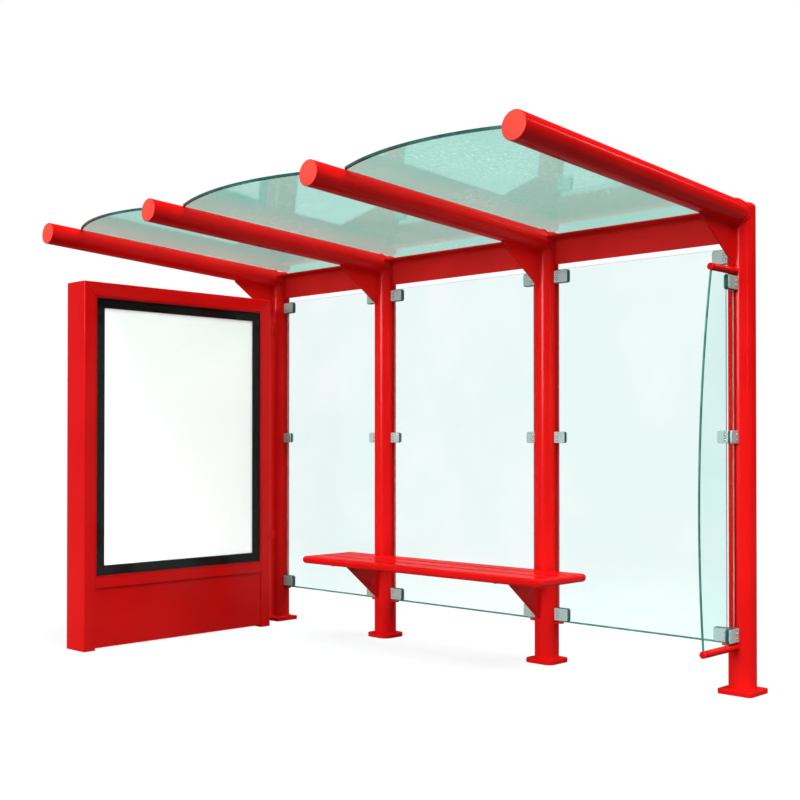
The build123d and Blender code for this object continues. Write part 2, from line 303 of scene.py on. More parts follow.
for number, middle in enumerate(posts, start=1):
    profile = [(0, plate_top), (post_r, plate_top), (post_r, post_top - post_dome)]
    profile += corner_arc((post_r - post_dome, post_top - post_dome), post_dome, 0, 90, 12)[1:]
    profile.append((0, post_top))
    bm = bmesh.new()
    turned(bm, profile, Matrix.Translation((middle.x, middle.y, 0)))
    post = show(f"post_{number}_tube", bm, steel_red)
    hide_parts(f"post_{number}")

bm = bmesh.new()
for middle in posts:
    weld(bm, ring_path(middle, post_r + bead_lift, plate_top + bead_lift), closed=True)
show("post_foot_welds", bm, steel_red)

# ---------------------------------------------------------------- roof arms
# Round steel tube, 127 mm across, rising to the front. The back end is cut to the curve of the
# post and welded to it; a flat disc closes the front end, set on with a weld that is ground flush.
arm_low, arm_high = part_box("roof_arm_1")
arm_r = (arm_high.x - arm_low.x) / 2
arm_slope = math.radians(3.5)
arm_out = Vector((0, -math.cos(arm_slope), math.sin(arm_slope)))
arm_up = Vector((0, math.sin(arm_slope), math.cos(arm_slope)))
arm_front = arm_low.y + arm_r * math.sin(arm_slope)                  # middle of the front cap
arm_length = (posts[0].y - arm_front) / math.cos(arm_slope)
arm_axis = arm_high.z - arm_r * math.cos(arm_slope) - arm_length * math.sin(arm_slope)
arm_segments = 128
arm_straight = 0.30                         # post's axis to where the skin is a plain tube
cap_seam = 0.006                            # front face to the middle of the seam behind the disc
cap_edge = 0.0025
seam_depth = 0.0008
seam_half = 0.0012                          # half width of the seam at the skin and in its floor
seam_floor = 0.0004
# The front discs take a paler, pinker copy of the red coating: a painted highlight for the light on the
# front faces.
cap_red_painted_highlight = red_coating("cap_painted_highlight", (0.84, 0.076, 0.055), (0.90, 0.084, 0.061),
                      rough_low=0.36, rough_high=0.40, coat=0.05)


def arm_point(middle, angle, reach, radius=arm_r):
    """A point on an arm's skin: reach is measured along its axis from the post's axis."""
    start = Vector((middle.x, middle.y, arm_axis))
    across = Vector((1, 0, 0)) * math.cos(angle) + arm_up * math.sin(angle)
    return start + arm_out * reach + across * radius


def cope(angle, radius=arm_r, grown=0.0):
    """Reach at which a line along the arm's skin meets the post."""
    half = radius * math.cos(angle)
    level = math.sqrt((post_r + grown) ** 2 - half ** 2)
    return (level + radius * math.sin(angle) * math.sin(arm_slope)) / math.cos(arm_slope)


seam = arm_length - cap_seam
stations = [(arm_straight, arm_r), (seam - seam_half, arm_r), (seam - seam_floor, arm_r - seam_depth),
            (seam + seam_floor, arm_r - seam_depth), (seam + seam_half, arm_r)]
stations += corner_arc((arm_length - cap_edge, arm_r - cap_edge), cap_edge, 90, -90, 5)
angles = [2 * math.pi * i / arm_segments for i in range(arm_segments)]
for number, middle in enumerate(posts, start=1):
    bm = bmesh.new()
    rings = [[bm.verts.new(arm_point(middle, a, cope(a))) for a in angles]]
    for reach, radius in stations:
        rings.append([bm.verts.new(arm_point(middle, a, reach, radius)) for a in angles])
    for ring, after in zip(rings, rings[1:]):
        for i in range(arm_segments):
            j = (i + 1) % arm_segments
            bm.faces.new((ring[i], ring[j], after[j], after[i]))
    bm.faces.new(rings[-1]).material_index = 1
    half_round = arm_segments // 2
    for i in range(half_round // 2):        # the back end is closed by strips from side to side
        for sign in (1, -1):
            near, far = sign * i, sign * (i + 1)
            corners = [k % arm_segments for k in (near, far, half_round - far, half_round - near)]
            bm.faces.new([rings[0][k] for k in dict.fromkeys(corners)])
    arm = show(f"roof_arm_{number}_tube", bm, steel_red, cap_red_painted_highlight)
    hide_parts(f"roof_arm_{number}")

crown = post_top - post_dome / 2
crown_swell = 0.2                           # the weld grows where it runs over the post's dome
cope_steps = 300
bm = bmesh.new()
for middle in posts:
    path = []
    for i in range(cope_steps):
        angle = 2 * math.pi * i / cope_steps
        reach = cope(angle, arm_r + bead_lift, bead * 0.5)
        path.append(arm_point(middle, angle, reach, arm_r + bead * 0.2))
    weld(bm, path, closed=True, swell=lambda p: 1 + crown_swell * max(0, p.z - crown) / (arm_r / 2))
show("arm_welds", bm, steel_red)

# ---------------------------------------------------------------- gusset plates
# Flat triangular plates, 10 mm thick, in the corner between each post and its arm. Their tips are
# blunted, their cut edges dressed, and they are welded on both sides.
gusset_low, gusset_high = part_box("arm_gusset_1")
gusset_thick = gusset_high.x - gusset_low.x
gusset_nose = 0.010
gusset_edge = 0.0012
weld_from_corner = 0.012                    # the welds stay out of the corner of post and arm
weld_from_tip = 0.004
weld_from_foot = 0.003
plate_bead = bead * 0.8                     # half width of the welds along plates


def arm_under(y_out):
    """Height of an arm's lowest line at a distance in front of the post axis."""
    return arm_axis + y_out * math.tan(arm_slope) - arm_r / math.cos(arm_slope)


def plate_piece(name, points, x, thick, edge, *materials):
    """A flat plate across the wall, its outline given as (y, z) pairs."""
    bm = bmesh.new()
    prism(bm, [(x - thick / 2, y, z) for y, z in points], (thick, 0, 0))
    plate = show(name, bm, *materials)
    ease(plate, edge, 2)
    return plate


def plate_welds(bm, middle, thick, start, end):
    """Fillet welds on both sides of a plate, between two points given as (distance in front of the
    post's axis, height)."""
    for side in (1, -1):
        x = middle.x + side * (thick / 2 + bead * 0.25)
        line = [(x, middle.y - out, z) for out, z in (start, end)]
        weld(bm, stepped(*line), size=plate_bead)


gusset_reach = posts[0].y - gusset_low.y
gusset_back = posts[0].y - gusset_high.y
bm_welds = bmesh.new()
for number, middle in enumerate(posts, start=1):
    outline = [(middle.y - gusset_back, arm_under(gusset_back)),
               (middle.y - gusset_reach, arm_under(gusset_reach)),
               (middle.y - gusset_reach, arm_under(gusset_reach) - gusset_nose),
               (middle.y - gusset_back - gusset_nose, gusset_low.z),
               (middle.y - gusset_back, gusset_low.z)]
    gusset = plate_piece(f"arm_gusset_{number}_plate", outline, middle.x, gusset_thick, gusset_edge,
                         steel_red)
    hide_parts(f"arm_gusset_{number}")
    line = [(out, arm_under(out) - bead * 0.1)
            for out in (gusset_back + weld_from_corner, gusset_reach - weld_from_tip)]
    plate_welds(bm_welds, middle, gusset_thick, *line)
    plate_welds(bm_welds, middle, gusset_thick, (post_r + bead * 0.1, gusset_low.z + weld_from_foot),
                (post_r + bead * 0.1, arm_under(gusset_back) - weld_from_corner))
show("gusset_welds", bm_welds, steel_red)

# ---------------------------------------------------------------- rear beams
# Rolled steel angle between the posts, web upright and flange towards the front, with the round
# root and toes of rolled section. The ends are cut to the posts and welded.
beam_thick = 0.008
beam_root = 0.009
beam_toe = 0.004
beam_heel = 0.0015
beam_arc_steps = 6
# The beams take a darker, less saturated copy of the red coating: painted shade for the web under the roof
# and the flange.
beam_red_painted_shade = red_coating("beam_coating_painted_shade", (0.60, 0.0130, 0.0115), (0.69, 0.0170, 0.0150),
                       rough_low=0.28, rough_high=0.34, coat=0.14)


def angle_section(y_front, y_back, z_low, z_high):
    """Outline of the rolled angle as (y, z) pairs, from the foot of the web round to the heel."""
    web_front = y_back - beam_thick
    flange_low = z_high - beam_thick
    points = [(y_back, z_low)]
    points += corner_arc((web_front + beam_toe, z_low + beam_toe), beam_toe, 270, -90, beam_arc_steps)
    points += corner_arc((web_front - beam_root, flange_low - beam_root), beam_root, 0, 90, beam_arc_steps)
    points += corner_arc((y_front + beam_toe, flange_low + beam_toe), beam_toe, 270, -90, beam_arc_steps)
    points += [(y_front, z_high)]
    points += corner_arc((y_back - beam_heel, z_high - beam_heel), beam_heel, 90, -90, 3)
    return points


bm_welds = bmesh.new()
for bay in range(3):
    beam_low, beam_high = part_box(f"rear_beam_{bay + 1}")
    left, right = posts[bay], posts[bay + 1]
    section = angle_section(beam_low.y, beam_high.y, beam_low.z, beam_high.z)
    bm = bmesh.new()
    ends = []
    for middle, side in ((left, 1), (right, -1)):
        ring = []
        for y, z in section:
            across = abs(y - middle.y)
            start = math.sqrt(max(0.0, post_r ** 2 - across ** 2))
            if z > beam_high.z - beam_thick - beam_root and y < beam_high.y - beam_thick - beam_root:
                start = max(start, arm_r)
            ring.append(bm.verts.new((middle.x + side * start, y, z)))
        ends.append(ring)
        web_front = beam_high.y - beam_thick
        meet = middle.x + side * post_r
        for y in (web_front - bead * 0.2, beam_high.y + bead * 0.2):
            top = beam_high.z - (beam_thick + beam_root if y < web_front else weld_from_foot)
            x = meet + side * bead * 0.1
            weld(bm_welds, stepped((x, y, beam_low.z + weld_from_foot), (x, y, top)), size=plate_bead)
    for i in range(len(section)):
        j = (i + 1) % len(section)
        bm.faces.new((ends[0][i], ends[0][j], ends[1][j], ends[1][i]))
    for ring in ends:
        cap = bm.faces.new(ring)
        bmesh.ops.triangulate(bm, faces=[cap])
    beam = show(f"rear_beam_{bay + 1}_angle", bm, beam_red_painted_shade)
    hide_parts(f"rear_beam_{bay + 1}")
show("beam_welds", bm_welds, steel_red)

# ---------------------------------------------------------------- roof glass
# Three flat panes of 12 mm toughened glass whose long edges lie on the shoulders of the arms, the
# front edge of each ground to a long curve. Green tinted, lightly mottled, with polished edges.
roof_thick = 0.012
roof_arris = 0.0010
front_setback = 0.215                       # front of an arm to the ends of a pane's curve
edge_glow = 0.014                           # width in which an edge's colour shows through the face
roof_tint = (0.35, 0.68, 0.59)
roof_fleck = (0.54, 0.83, 0.75)
edge_dark = (0.006, 0.082, 0.068)


def mix_shaders(material, factor, first, second):
    """One shader output or another, chosen by a factor output."""
    pick = node(material, "ShaderNodeMixShader")
    links = material.node_tree.links
    links.new(factor, pick.inputs["Fac"])
    links.new(first, pick.inputs[1])
    links.new(second, pick.inputs[2])
    return pick.outputs["Shader"]


def combine(material, operation, first, second):
    """The product or the larger of two outputs."""
    made = node(material, "ShaderNodeMath")
    made.operation = operation
    material.node_tree.links.new(first, made.inputs[0])
    material.node_tree.links.new(second, made.inputs[1])
    return made.outputs[0]


def let_lamps_through(material, tint):
    """Glass that lamps shine through, tinted, so that what stands behind it is lit."""
    tree = material.node_tree
    path = node(material, "ShaderNodeLightPath")
    clear = node(material, "ShaderNodeBsdfTransparent", Color=(*tint, 1))
    both = mix_shaders(material, path.outputs["Is Shadow Ray"],
                       tree.nodes["Principled BSDF"].outputs["BSDF"], clear.outputs["BSDF"])
    tree.links.new(both, tree.nodes["Material Output"].inputs["Surface"])


def glass(name, plain, flecked, bend, rough_low, rough_high, cloud_scale, lamp_tint, stretch=(1, 1, 1)):
    """Sheet glass with a tint that clouds between two colours."""
    material, links, shader = surface(name, Transmission_Weight=1.0, IOR=bend)
    cloud = clouds(material, cloud_scale, 8, stretch)
    links.new(blend_colours(material, remap(material, cloud, 0.42, 0.68, 0, 1), plain, flecked),
              shader.inputs["Base Color"])
    links.new(remap(material, cloud, 0.35, 0.7, rough_low, rough_high), shader.inputs["Roughness"])
    wave = clouds(material, 9.0, 2)
    links.new(bump(material, wave, 0.05, 0.002), shader.inputs["Normal"])
    let_lamps_through(material, lamp_tint)
    return material


def glass_edge(name, colour):
    """The deep green that shows along a polished edge of thick glass."""
    material, links, shader = surface(name, Specular_IOR_Level=0.15)
    depth = clouds(material, 14.0, 3)
    paler = tuple(min(1.0, c * 1.7 + 0.01) for c in colour)
    links.new(blend_colours(material, remap(material, depth, 0.35, 0.65, 0, 1), colour, paler),
              shader.inputs["Base Color"])
    links.new(remap(material, depth, 0.3, 0.7, 0.10, 0.22), shader.inputs["Roughness"])
    return material


def patterned_glass(material, plain, flecked):
    """Fine pale flecks rolled into the face, crowded in some patches and sparse in others."""
    links = material.node_tree.links
    flecks = remap(material, clouds(material, 85.0, 3, (1, 0.45, 1)), 0.50, 0.66, 0, 1)
    patches = remap(material, clouds(material, 1.7, 2), 0.42, 0.58, 0.15, 1)
    crowded = combine(material, "MULTIPLY", flecks, patches)
    shader = material.node_tree.nodes["Principled BSDF"]
    links.new(blend_colours(material, crowded, plain, flecked), shader.inputs["Base Color"])


roof_glass = glass("roof_glass", roof_tint, roof_fleck, bend=1.16, rough_low=0.03, rough_high=0.08,
                   cloud_scale=30.0, lamp_tint=(0.46, 0.50, 0.49), stretch=(1, 0.55, 1))
patterned_glass(roof_glass, roof_tint, roof_fleck)
roof_glass_edge = glass_edge("roof_glass_edge", edge_dark)


def rimmed_pane(bm, body, inner, outer, lift, body_edge=1):
    """A pane whose two faces have a strip of edge material between the inner and outer rim points.
    body is the rest of the outline and leads from the rims' end round to their start; its edge faces
    take a material of their own."""
    lift = Vector(lift)
    layers = []
    for shift in (Vector((0, 0, 0)), lift):
        layers.append([[bm.verts.new(Vector(p) + shift) for p in points]
                       for points in (body, inner, outer)])
    for rest, near, far in layers:
        bm.faces.new(rest + near)
        for i in range(len(near) - 1):
            bm.faces.new((near[i], far[i], far[i + 1], near[i + 1])).material_index = 1
    loops = [rest + near[:1] + far + near[-1:] for rest, near, far in layers]
    for i in range(len(loops[0])):
        j = (i + 1) % len(loops[0])
        side = bm.faces.new((loops[0][i], loops[0][j], loops[1][j], loops[1][i]))
        side.material_index = 1 if len(body) < i < len(loops[0]) - 2 else body_edge


for bay in range(3):
    pane_low, pane_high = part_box(f"roof_glass_{bay + 1}")
    rear_y = pane_high.y - roof_thick * math.sin(arm_slope)
    nose_y = pane_low.y
    corner_y = arm_front + front_setback
    width = pane_high.x - pane_low.x
    bulge = corner_y - nose_y
    radius = (bulge ** 2 + (width / 2) ** 2) / (2 * bulge)
    half_turn = math.degrees(math.asin(width / 2 / radius))
    middle_x = (pane_low.x + pane_high.x) / 2
    shoulder = math.sqrt(arm_r ** 2 - (pane_low.x - posts[bay].x) ** 2)
    under = arm_axis + shoulder / math.cos(arm_slope)
    curve = corner_arc((middle_x, nose_y + radius), radius, 270 - half_turn, 2 * half_turn, 64)
    rear = [(pane_high.x, rear_y), (pane_low.x, rear_y)]
    rims = []
    for outline in (rear, [(x, y + edge_glow) for x, y in curve], curve):
        rims.append([(x, y, under + (posts[0].y - y) * math.tan(arm_slope)) for x, y in outline])
    bm = bmesh.new()
    rimmed_pane(bm, *rims, arm_up * roof_thick, body_edge=0)
    pane = show(f"roof_pane_{bay + 1}", bm, roof_glass, roof_glass_edge, slot="roof_glass")
    ease(pane, roof_arris, 1)
    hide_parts(f"roof_glass_{bay + 1}")

# A bead of glazing silicone runs along the foot of each long edge, where the pane meets the arm.
seal_under = 0.0060                         # how far the bead reaches under the pane
seal_beside = 0.0050                        # and up the arm beside it
seal_rise = 0.0040                          # and up the edge
seal_sink = 0.0002                          # its foot is pressed onto the arm
seal_short = 0.004                          # front corner of a pane to the end of its bead
seal_steps = 5


def silicone(name, colour):
    """Grey glazing silicone, tooled by hand."""
    material, links, shader = surface(name)
    tooling = clouds(material, 60.0, 4, (1, 0.15, 1))
    paler = tuple(c * 1.35 for c in colour)
    links.new(blend_colours(material, tooling, colour, paler), shader.inputs["Base Color"])
    links.new(remap(material, tooling, 0.3, 0.7, 0.42, 0.58), shader.inputs["Roughness"])
    links.new(bump(material, tooling, 0.3, 0.0008), shader.inputs["Normal"])
    return material


seal_grey = silicone("glazing_silicone", (0.26, 0.33, 0.31))
front_reach = (posts[0].y - corner_y) / math.cos(arm_slope) - seal_short
rear_reach = post_r + bead
bm = bmesh.new()
for bay in range(3):
    pane_low, pane_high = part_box(f"roof_glass_{bay + 1}")
    for middle, edge in ((posts[bay], pane_low.x), (posts[bay + 1], pane_high.x)):
        side = 1 if edge > middle.x else -1
        foot = abs(edge - middle.x)
        wide, narrow = foot + seal_under, foot - seal_beside
        section = [(wide, shoulder)]
        for i in range(seal_steps + 1):
            x = wide + (narrow - wide) * i / seal_steps
            section.append((x, math.sqrt(arm_r ** 2 - x ** 2) - seal_sink))
        section += [(foot, shoulder + seal_rise), (foot, shoulder)]
        start = Vector((middle.x, middle.y, arm_axis)) + arm_out * rear_reach
        outline = [start + Vector((side * x, 0, 0)) + arm_up * h for x, h in section]
        prism(bm, outline, arm_out * (front_reach - rear_reach))
show("roof_seals", bm, seal_grey, slot="roof_glass")

# ---------------------------------------------------------------- rear glass
# Toughened panes, 8 mm thick, upright between the posts, with round corners and polished edges.
# The glass is pale blue-green and lightly frosted.
screen_arris = 0.0008
screen_corner = 0.006
screen_glow = 0.009                         # width in which an edge's colour shows through the face
screen_tint = (0.824, 0.955, 0.94)
screen_pale = (0.906, 0.985, 0.975)
screen_lit = (0.95, 0.99, 0.985)
rim_gap = 0.0001

screen_glass = glass("screen_glass", screen_tint, screen_pale, bend=1.22, rough_low=0.16,
                     rough_high=0.24, cloud_scale=1.6, lamp_tint=screen_lit)
screen_glass_edge = glass_edge("screen_glass_edge", (0.030, 0.160, 0.132))

for bay in range(3):
    pane_low, pane_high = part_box(f"rear_glass_{bay + 1}")
    r = screen_corner
    top = corner_arc((pane_high.x - r, pane_high.z - r), r, 0, 90, 5)
    top += corner_arc((pane_low.x + r, pane_high.z - r), r, 90, 90, 5)
    foot = corner_arc((pane_low.x + r, pane_low.z + r), r, 180, 90, 5)
    foot += corner_arc((pane_high.x - r, pane_low.z + r), r, 270, 90, 5)
    inner = [(x, max(z, pane_low.z + screen_glow) + rim_gap) for x, z in foot]
    bm = bmesh.new()
    rims = [[(x, pane_low.y, z) for x, z in outline] for outline in (top, inner, foot)]
    rimmed_pane(bm, *rims, (0, pane_high.y - pane_low.y, 0))
    pane = show(f"rear_pane_{bay + 1}", bm, screen_glass, screen_glass_edge, slot="screen_glass")
    ease(pane, screen_arris, 1, material=1)
    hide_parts(f"rear_glass_{bay + 1}")

# ---------------------------------------------------------------- side screen
# One shaped pane of clear toughened glass on the last post, at right angles to the back. Its front
# edge is ground to a long curve, and it stands between two short round rods welded to the post.
rod_round = 0.004
rod_root = 0.006                            # how far a rod reaches into the post
rod_weld_steps = 90
small_bead = bead * 0.6                     # half width of the welds at small pieces
side_glass = glass("side_glass", screen_tint, screen_pale, bend=1.22, rough_low=0.02,
                   rough_high=0.05, cloud_scale=1.6, lamp_tint=screen_lit)
side_low, side_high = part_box("side_glass")
rod_boxes = [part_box("side_rod_upper"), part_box("side_rod_lower")]
last = posts[3]
front_top = rod_boxes[0][0].y + rod_round
front_low = rod_boxes[1][0].y + rod_round


def arc_through(first, middle, final, steps):
    """Points of the arc through three (y, z) points."""
    (ax, ay), (bx, by), (cx, cy) = first, middle, final
    d = 2 * (ax * (by - cy) + bx * (cy - ay) + cx * (ay - by))
    a, b, c = ax * ax + ay * ay, bx * bx + by * by, cx * cx + cy * cy
    ux = (a * (by - cy) + b * (cy - ay) + c * (ay - by)) / d
    uy = (a * (cx - bx) + b * (ax - cx) + c * (bx - ax)) / d
    radius = math.hypot(ax - ux, ay - uy)
    start = math.atan2(ay - uy, ax - ux)
    end = math.atan2(cy - uy, cx - ux)
    turn = (end - start + math.pi) % (2 * math.pi) - math.pi
    return corner_arc((ux, uy), radius, math.degrees(start), math.degrees(turn), steps)


side_belly = 0.418                          # post axis to the curve at half height
middle_z = (side_low.z + side_high.z) / 2
curve = arc_through((front_low, side_low.z), (last.y - side_belly, middle_z), (front_top, side_high.z), 48)
rear = [(side_high.y, side_high.z), (side_high.y, side_low.z)]
rims = [[(side_low.x, y, z) for y, z in outline]
        for outline in (rear, [(y + screen_glow, z) for y, z in curve], curve)]
bm = bmesh.new()
rimmed_pane(bm, *rims, (side_high.x - side_low.x, 0, 0))
pane = show("side_pane", bm, side_glass, screen_glass_edge, slot="screen_glass")
ease(pane, screen_arris, 1, material=1)
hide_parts("side_glass")

bm_welds = bmesh.new()
for name, (rod_low, rod_high) in zip(("side_rod_upper", "side_rod_lower"), rod_boxes):
    rod_r = (rod_high.x - rod_low.x) / 2
    height = (rod_low.z + rod_high.z) / 2
    reach = last.y - rod_low.y
    profile = [(0, post_r - rod_root), (rod_r, post_r - rod_root), (rod_r, reach - rod_round)]
    profile += corner_arc((rod_r - rod_round, reach - rod_round), rod_round, 0, 90, 6)[1:]
    profile.append((0, reach))
    place = Matrix.Translation((last.x, last.y, height)) @ Matrix.Rotation(math.radians(90), 4, "X")
    bm = bmesh.new()
    turned(bm, profile, place, 48)
    rod = show(f"{name}_bar", bm, steel_red)
    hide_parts(name)
    path = []
    for i in range(rod_weld_steps):
        angle = 2 * math.pi * i / rod_weld_steps
        x = (rod_r + bead * 0.2) * math.cos(angle)
        path.append((last.x + x, last.y - math.sqrt((post_r + bead * 0.2) ** 2 - x * x),
                     height + (rod_r + bead * 0.2) * math.sin(angle)))
    weld(bm_welds, path, size=small_bead, closed=True)
show("rod_welds", bm_welds, steel_red)

# ---------------------------------------------------------------- glass clamps
# Stainless clamps: two jaws over thick rubber pads, held to the post by a tongue and closed by two
# dome-headed screws beside the post. Longer ones sit at the ends of each upright edge, where the pads
# stand out round the jaws, and a shorter one in the middle.
clamp_half = 0.020                          # half the thickness over both jaws
clamp_round = 0.012
clamp_edge = 0.0014
clamp_root = 0.001                          # how far a jaw reaches into the post
clamp_apart = 0.2                           # the clamps of one edge are further apart than this
same = 0.001                                # places closer than this count as the same
jaw_thick = (0.0060, 0.0105)                # of an end clamp and of a middle one
pad_rim = (0.0035, 0.0008)                  # how far their pads stand out round the jaws
pad_inner = 0.0041                          # a hair over the glass
pad_sunk = 0.0002                           # a pad reaches this far into its jaw
pad_edge = 0.0006
screw_r = 0.0058
screw_dome = 0.0026
# The dark ring round each screw head is painted shade of its recess.
screw_shade_ring = screw_r * 1.6
screw_socket = 0.0013
screw_sunk = 0.0004
shade_ring_rise = 0.0003
screw_from_post = 0.017
screw_spacing = 0.026
tongue_reach = 0.019
tongue_root = 0.003
tongue_inset = 0.010                        # shorter than the jaws at both ends
tongue_half = 0.004


def satin_steel(name, deep, pale, metal, rough):
    """Glass-blasted stainless steel: pale and even, with a fine brushed streak."""
    material, links, shader = surface(name, Metallic=metal)
    shade = clouds(material, 30.0, 4)
    links.new(blend_colours(material, shade, deep, pale), shader.inputs["Base Color"])
    streak = clouds(material, 500.0, 2, (0.08, 0.08, 1))
    links.new(remap(material, streak, 0.3, 0.7, rough, rough + 0.12), shader.inputs["Roughness"])
    links.new(bump(material, streak, 0.10, 0.0002), shader.inputs["Normal"])
    return material


def pad_rubber(name):
    """Dark green rubber of the clamp pads. Where the pads stand out round the jaws, their dark green is
    partly painted shade and a painted reflection of the glass's green edge.
    """
    material, links, shader = surface(name)
    shade = clouds(material, 80.0, 3)
    links.new(blend_colours(material, shade, (0.010, 0.060, 0.050), (0.022, 0.100, 0.084)),
              shader.inputs["Base Color"])
    links.new(remap(material, shade, 0.3, 0.7, 0.38, 0.55), shader.inputs["Roughness"])
    return material


clamp_steel = satin_steel("clamp_steel", (0.36, 0.460, 0.440), (0.46, 0.570, 0.550), metal=0.35, rough=0.34)
# The screw heads are near white and only a little metallic: partly pale steel, partly a painted highlight
# on the domes.
screw_steel_and_highlight = satin_steel("screw_steel_and_highlight", (0.80, 0.81, 0.81), (0.92, 0.92, 0.92), metal=0.30, rough=0.16)
# The pads' dark green rim round the jaws is partly painted shade along the clamp sides.
clamp_pads_and_shade = pad_rubber("clamp_pads_and_shade")


def clamps_of(node_name, reach_of):
    """Lowest and highest point and reach of each clamp in a node, from the points of its mesh."""
    points = sorted((v.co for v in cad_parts[node_name].data.vertices), key=lambda p: p.z)
    runs = [[points[0]]]
    for point in points[1:]:
        if point.z - runs[-1][-1].z > clamp_apart:
            runs.append([point])
        else:
            runs[-1].append(point)
    return [(run[0].z, run[-1].z, max(reach_of(p) for p in run)) for run in runs]


def clamp_outline(inner, outer, z_low, z_high, inset):
    """Side view of a jaw as (reach, z) pairs: square towards the post, round at the far end."""
    r = clamp_round - inset
    points = [(inner, z_low + inset)]
    points += corner_arc((outer - inset - r, z_low + inset + r), r, 270, 90, 6)
    points += corner_arc((outer - inset - r, z_high - inset - r), r, 0, 90, 6)
    points.append((inner, z_high - inset))
    return points


def slab(bm, middle, away, across, outline, near, far):
    """A plate of a clamp: an outline of (reach, z) pairs, between two distances across the glass."""
    base = middle + across * near
    prism(bm, [Vector((base.x + away.x * a, base.y + away.y * a, z)) for a, z in outline],
          across * (far - near))


def domed_screw(bright, dark, spot, out):
    """A dome head with a socket, sunk in a dark ring that is painted shade of the recess round the head.
    out is the way it faces.
    """
    place = Matrix.Translation(spot) @ out.to_track_quat("Z", "Y").to_matrix().to_4x4()
    dome = [(0, -screw_sunk), (screw_r, -screw_sunk)]
    dome += [(screw_r * math.cos(a), screw_dome * (0.10 + 0.90 * math.sin(a)))
             for a in (math.radians(d) for d in (0, 20, 40, 58, 72))]
    dome += [(screw_socket, screw_dome * 0.5), (0, screw_dome * 0.5)]
    turned(bright, dome, place, 24)
    ring = [(0, -screw_sunk), (screw_shade_ring, -screw_sunk), (screw_shade_ring, shade_ring_rise),
            (screw_r * 0.9, shade_ring_rise), (0, shade_ring_rise)]
    turned(dark, ring, place, 24)


def make_clamps(name, sites):
    """All clamps of one node. A site is (post middle, direction away from the post, direction across
    the glass, function that gives a point's reach)."""
    steel, rubber, screws = bmesh.new(), bmesh.new(), bmesh.new()
    inner = math.sqrt(post_r ** 2 - clamp_half ** 2) - clamp_root
    jaw_face = clamp_half - screw_dome
    for middle, away, across, reach_of in sites:
        clamps = clamps_of(name, reach_of)
        longest = max(outer for _, _, outer in clamps)
        for z_low, z_high, outer in clamps:
            kind = 0 if outer > longest - same else 1
            jaw_back = jaw_face - jaw_thick[kind]
            jaw = clamp_outline(inner, outer, z_low, z_high, pad_rim[kind])
            pad = clamp_outline(inner, outer, z_low, z_high, 0)
            for side in (across, -across):
                slab(steel, middle, away, side, jaw, jaw_back, jaw_face)
                slab(rubber, middle, away, side, pad, pad_inner, jaw_back + pad_sunk)
                for offset in (-1, 1):
                    height = Vector((0, 0, (z_low + z_high) / 2 + offset * screw_spacing / 2))
                    spot = middle + away * (post_r + screw_from_post) + side * jaw_face + height
                    domed_screw(screws, rubber, spot, side)
            root, tip = post_r - tongue_root, post_r + tongue_reach
            foot, top = z_low + tongue_inset, z_high - tongue_inset
            tongue = [(root, foot), (tip, foot), (tip, top), (root, top)]
            slab(steel, middle, away, across, tongue, -tongue_half, tongue_half)
    jaws = show(f"{name}_jaws", steel, clamp_steel, slot="clamp_metal")
    ease(jaws, clamp_edge, 3)
    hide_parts(name)
    pads = show(f"{name}_pads", rubber, clamp_pads_and_shade, slot="clamp_metal")
    ease(pads, pad_edge, 2)
    show(f"{name}_screws", screws, screw_steel_and_highlight, smooth=50, slot="clamp_metal")


def along_bay(left, right):
    """Distance of a point from the nearer of a bay's two posts, along the wall."""
    return lambda p: min(abs(p.x - left.x), abs(p.x - right.x))


flat_posts = [Vector((middle.x, middle.y, 0)) for middle in posts]
rightward, backward = Vector((1, 0, 0)), Vector((0, 1, 0))
for bay in range(3):
    left, right = flat_posts[bay], flat_posts[bay + 1]
    reach_of = along_bay(left, right)
    make_clamps(f"rear_clamps_{bay + 1}", [(left, rightward, backward, reach_of),
                                           (right, -rightward, backward, reach_of)])
make_clamps("side_clamps", [(flat_posts[3], -backward, rightward, lambda p: last.y - p.y)])

# Small red lugs, welded to the posts, carry the lower corners of the rear panes.
lug_low, lug_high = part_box("glass_lugs")
lug_reach = 0.044
lug_half = 0.014
lug_corner = 0.006
lug_edge = 0.0012
lug_weld_steps = 28
bm = bmesh.new()
bm_welds = bmesh.new()
for bay in range(3):
    for middle, side in ((posts[bay], 1), (posts[bay + 1], -1)):
        half = lug_half
        reach = post_r + lug_reach
        near = math.sqrt(post_r ** 2 - half ** 2)
        outline = [(near, -half)]
        outline += corner_arc((reach - lug_corner, -half + lug_corner), lug_corner, 270, 90, 5)
        outline += corner_arc((reach - lug_corner, half - lug_corner), lug_corner, 0, 90, 5)
        outline += [(near, half)]
        outline += [(math.sqrt(post_r ** 2 - (half * t) ** 2), half * t) for t in (0.5, 0, -0.5)]
        points = [(middle.x + side * a, middle.y + b, lug_low.z) for a, b in outline]
        prism(bm, points, (0, 0, lug_high.z - lug_low.z))
        spread = math.degrees(math.asin(half / post_r))
        curve = corner_arc((0, 0), post_r + bead * 0.1, -spread, 2 * spread, lug_weld_steps)
        weld(bm_welds, [(middle.x + side * a, middle.y + b, lug_low.z - bead * 0.1) for a, b in curve],
             size=small_bead)
lugs = show("glass_lug_plates", bm, steel_red)
ease(lugs, lug_edge, 2)
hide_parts("glass_lugs")
show("lug_welds", bm_welds, steel_red)

# ---------------------------------------------------------------- bench
# Three bullnosed slats, 134 by 46 mm, with a bar across their ends, coated in a glossier red.
# They lie on two plate brackets that are welded to the middle posts.
slat_round = 0.018
slat_edge = 0.0010
bench_corner = 0.003
bracket_nose = 0.007
bracket_tip = 0.014
bracket_bend = 0.294                        # post face to where a bracket starts to slope
bench_red = red_coating("bench_coating", (0.64, 0.0030, 0.0035), (0.70, 0.0045, 0.0045),
                        rough_low=0.05, rough_high=0.08, coat=0.17)

